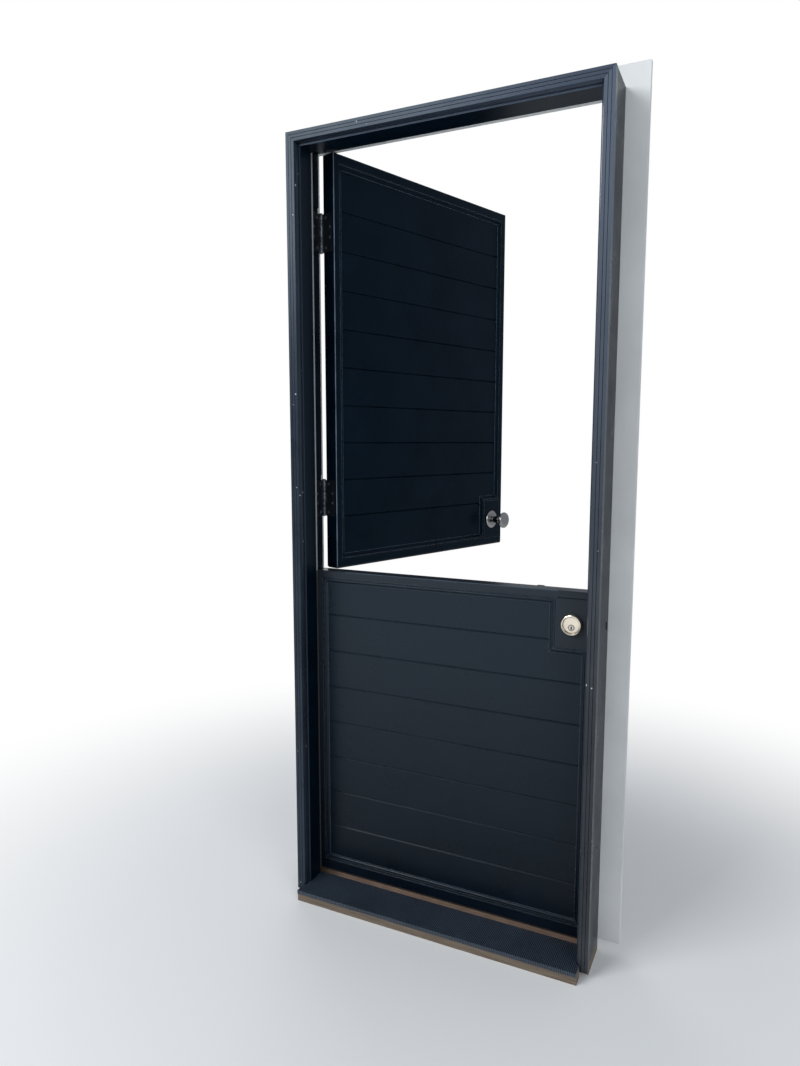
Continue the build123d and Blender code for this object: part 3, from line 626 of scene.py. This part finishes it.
def turned(name, rings, centre, outward, across, body, material):
    """A turned piece from rings, in millimetres.

    Each ring has a radius, a height off the face and the drop of its centre.
    """
    steps = 72
    centre, outward, across = Vector(centre), Vector(outward), Vector(across)
    up = Vector((0, 0, 1))
    bm = bmesh.new()
    loops = []
    for radius, height, drop in rings:
        middle = centre + (outward * height - up * drop) * MM
        if radius == 0:
            loops.append([bm.verts.new(middle)])
            continue
        angles = [2 * math.pi * i / steps for i in range(steps)]
        rays = [across * math.cos(a) + up * math.sin(a) for a in angles]
        loops.append([bm.verts.new(middle + ray * radius * MM) for ray in rays])
    bridge(bm, loops)
    bmesh.ops.recalc_face_normals(bm, faces=bm.faces)
    obj = smooth_object(name, bm, material, body)
    obj.data.set_sharp_from_angle(angle=math.radians(28))
    return obj


def bend(*points):
    """Points along a curve between the first and the last, pulled by the two in between."""
    return [tuple(p) for p in interpolate_bezier(*[Vector(p) for p in points], 14)]


def knob_rings():
    """A round neck that opens like a trumpet into a shallow ball with a flat front."""
    root, foot, neck, ball, front = 1, 11, 12.6, 29, 64
    flare = bend((neck, 26, 0), (neck, 49, 0), (ball, 50, 0), (ball, 56, 0))
    brow = bend((ball, 56, 0), (ball, 61, 0), (24, front, 0), (12, front, 0))
    start = [(0, root, 0), (foot, root, 0), (foot, 9, 0), (neck, 9.6, 0)]
    return start + flare + brow[1:] + [(0, front, 0)]


def knobs(material):
    """Both knobs, on their leaf as it stands open, in place of the plainer solids."""
    across = OPENING @ Vector((1, 0, 0))
    for name, face, side in (("outer_knob", 0.0, -1), ("inner_knob", LEAF_THICKNESS, 1)):
        centre = to_open((LOCK_X, face, KNOB_Z))
        outward = OPENING @ Vector((0, side, 0))
        obj = turned(name + "_turned", knob_rings(), centre, outward, across, "knobs", material)
        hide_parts(name)


def collar(material):
    """The deadbolt's collar with its sunk face and the hole for the key plug."""
    hole, tube, back, floor, drop = 6.5, 21, -9, 8.6, 7
    rings = [
        (hole, back, drop), (tube, back, 0), (tube, 0, 0),
        (28.5, 0, 0), (28, 6, 0), (27, 11, 0), (25.6, 13.4, 0),
        (24.4, 14, 0), (22.6, 13.6, 0), (22, 12.8, 0), (21.6, floor + 0.4, 0), (21.2, floor, 0),
        (hole + 2.2, floor, 6), (hole + 1.4, floor - 0.5, 6.6), (hole, floor - 0.5, drop),
        (hole, back, drop),
    ]
    centre = (LOCK_X, 0, DEADBOLT_Z)
    obj = turned("deadbolt_collar_turned", rings, centre, (0, -1, 0), (1, 0, 0), "lower_leaf", material)
    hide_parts("deadbolt_collar")


# Screws


def screw_head(bm, centre, outward, across, radius, turn):
    """A shallow domed head with a cross recess, standing just proud of its plate."""
    up = outward.cross(across)
    steps = 32
    crown = 0.0006
    recess = 0.0012
    angles = [turn + 2 * math.pi * i / steps for i in range(steps)]
    rays = [across * math.cos(a) + up * math.sin(a) for a in angles]
    loops = []
    for share, height in ((1.0, 0.0), (0.97, 0.00028), (0.8, 0.00045), (0.5, crown)):
        middle = centre + outward * height
        loops.append([bm.verts.new(middle + ray * (radius * share)) for ray in rays])
    rim = []
    for a, ray in zip(angles, rays):
        arm = 4 * max(0.0, abs(math.cos(2 * (a - turn))) - 0.75)
        middle = centre + outward * (crown - 0.0007 * arm)
        rim.append(bm.verts.new(middle + ray * (radius * (0.18 + 0.3 * arm))))
    tip = bm.verts.new(centre - outward * recess)
    bridge(bm, [*loops, rim, [tip]])


def screws(name, body, points, outward, across, radius, material):
    """A set of screw heads on one plate."""
    bm = bmesh.new()
    for index, point in enumerate(points):
        screw_head(bm, Vector(point), Vector(outward), Vector(across), radius, 0.7 * index + 0.2)
    bm.normal_update()
    obj = smooth_object(name, bm, material, body)


def plate_points(x, z):
    """The four staggered screw places of a hinge plate whose foot is at z."""
    far, near = 0.0360, 0.0190
    rows = ((0.11, far), (0.37, near), (0.63, near), (0.89, far))
    return [(x, y, z + share * HINGE_HEIGHT) for share, y in rows]


def hinge_screws(enamel):
    """The countersunk screws of all four hinges."""
    right, inward = Vector((1, 0, 0)), Vector((0, 1, 0))
    for label, bottom, top in (("lower", LOWER_BOTTOM, LOWER_TOP), ("upper", UPPER_BOTTOM, UPPER_TOP)):
        body = label + "_leaf"
        feet = (bottom + HINGE_ABOVE_BOTTOM, top - HINGE_BELOW_TOP - HINGE_HEIGHT)
        for index, z in enumerate(feet):
            name = f"{label}_hinge_{index + 1}"
            points = plate_points(JAMB_PLATE_X, z)
            screws(name + "_jamb_screws", "frame", points, right, inward, HINGE_SCREW, enamel)
            points = plate_points(LEAF_PLATE_X, z)
            outward, across = -right, -inward
            if label == "upper":
                points = [to_open(p) for p in points]
                outward, across = OPENING @ outward, OPENING @ across
            screws(name + "_leaf_screws", body, points, outward, across, HINGE_SCREW, enamel)


def lock_screws(enamel, steel):
    """The screws of the strikes, lock plates, thumbturn rose, tie bolt and keeper."""
    right, inward = Vector((1, 0, 0)), Vector((0, 1, 0))
    open_right, open_inward = OPENING @ right, OPENING @ inward
    sides = (-1, 1)
    for label, z in (("latch", KNOB_Z), ("deadbolt", DEADBOLT_Z)):
        points = [(STRIKE_X, LOCK_Y, z + side * STRIKE_REACH) for side in sides]
        screws(label + "_strike_screws", "frame", points, -right, inward, STRIKE_SCREW, steel)
    points = [(HALF_LEAF, LOCK_Y, DEADBOLT_Z + side * FACE_PLATE_REACH) for side in sides]
    screws("deadbolt_plate_screws", "lower_leaf", points, right, inward, FACE_PLATE_SCREW, steel)
    points = [to_open((HALF_LEAF, LOCK_Y, KNOB_Z + side * FACE_PLATE_REACH)) for side in sides]
    screws("latch_plate_screws", "upper_leaf", points, open_right, open_inward, FACE_PLATE_SCREW, steel)
    points = [(LOCK_X + side * ROSE_REACH, ROSE_FACE, DEADBOLT_Z) for side in sides]
    screws("rose_screws", "lower_leaf", points, inward, right, ROSE_SCREW, steel)
    points = [(TIE_X + side * TIE_REACH, TIE_FACE, KEEPER_Z) for side in sides]
    screws("keeper_screws", "lower_leaf", points, inward, right, TIE_SCREW, enamel)
    points = [to_open((TIE_X + side * TIE_REACH, TIE_FACE, z)) for side in sides for z in TIE_PLATE_ROWS]
    screws("tie_plate_screws", "upper_leaf", points, open_inward, open_right, TIE_SCREW, enamel)


# Stage


def floor_material():
    """A pale floor that keeps the shadow round the object and runs out to white for the camera."""
    m = Material("floor_colour", Roughness=0.9, Base_Color=(0.92, 0.92, 0.91, 1))
    away = m.distance(m.node("ShaderNodeTexCoord").outputs["Object"])
    far = m.rise(away, 0.7, 2.4, interpolation_type="SMOOTHSTEP")
    seen = m.node("ShaderNodeLightPath").outputs["Is Camera Ray"]
    white = m.node("ShaderNodeEmission")
    white.inputs["Strength"].default_value = 1.0
    mix = m.node("ShaderNodeMixShader")
    m.link(m.product(far, seen), mix.inputs["Fac"])
    m.link(m.shader.outputs["BSDF"], mix.inputs[1])
    m.link(white.outputs["Emission"], mix.inputs[2])
    m.link(mix.outputs["Shader"], m.tree.nodes["Material Output"].inputs["Surface"])
    return m.material


def stage():
    bpy.ops.mesh.primitive_plane_add(size=40, location=(0, 0, 0))
    floor = bpy.context.object
    floor.name = "floor"
    floor.data.materials.append(floor_material())


def area(name, place, power, colour):
    light = bpy.data.lights.new(name, "AREA")
    light.shape = "SQUARE"
    light.size = LIGHT_SIZE
    light.energy = power
    light.color = colour
    obj = bpy.data.objects.new(name, light)
    obj.location = place
    obj.rotation_euler = (LIGHT_TARGET - Vector(place)).to_track_quat("-Z", "Y").to_euler()
    bpy.context.scene.collection.objects.link(obj)


def lights():
    """Soft light from all round, which the camera sees as white, and three large lamps."""
    world = bpy.data.worlds.new("world")
    bpy.context.scene.world = world
    world.use_nodes = True
    tree = world.node_tree
    background = tree.nodes["Background"]
    background.inputs["Color"].default_value = (0.80, 0.86, 0.95, 1)
    background.inputs["Strength"].default_value = 0.42
    white = tree.nodes.new("ShaderNodeBackground")
    white.inputs["Color"].default_value = (1, 1, 1, 1)
    white.inputs["Strength"].default_value = 1.0
    path = tree.nodes.new("ShaderNodeLightPath")
    mix = tree.nodes.new("ShaderNodeMixShader")
    tree.links.new(path.outputs["Is Camera Ray"], mix.inputs["Fac"])
    tree.links.new(background.outputs["Background"], mix.inputs[1])
    tree.links.new(white.outputs["Background"], mix.inputs[2])
    tree.links.new(mix.outputs["Shader"], tree.nodes["World Output"].inputs["Surface"])
    area("key", (-2.2, -3.6, 3.6), 130, (0.96, 0.98, 1.0))
    area("fill", (3.4, -3.0, 2.2), 55, (0.92, 0.96, 1.0))
    area("room", (-2.6, 3.2, 3.0), 30, (1.0, 0.99, 0.97))


def camera():
    data = bpy.data.cameras.new("camera")
    data.sensor_fit = "HORIZONTAL"
    data.sensor_width = SENSOR_WIDTH
    data.lens = SENSOR_WIDTH * FOCAL_PIXELS / PICTURE_PIXELS
    obj = bpy.data.objects.new("camera", data)
    obj.location = CAMERA_PLACE
    obj.rotation_euler = (math.radians(90 - CAMERA_TILT), 0, math.radians(CAMERA_TURN))
    bpy.context.scene.collection.objects.link(obj)
    bpy.context.scene.camera = obj


dress_frame()
dress_leaf("lower_", False)
dress_leaf("upper_", True)
dress_hardware()
hinge_screws(black_enamel("screw_enamel", low=(0.025, 0.032, 0.045), high=(0.1, 0.115, 0.15)))
lock_screws(black_enamel("small_screw_enamel"), metal("screw_steel", (0.62, 0.58, 0.52), 0.25))
stage()
lights()
camera()
bpy.context.scene.view_settings.view_transform = "Standard"
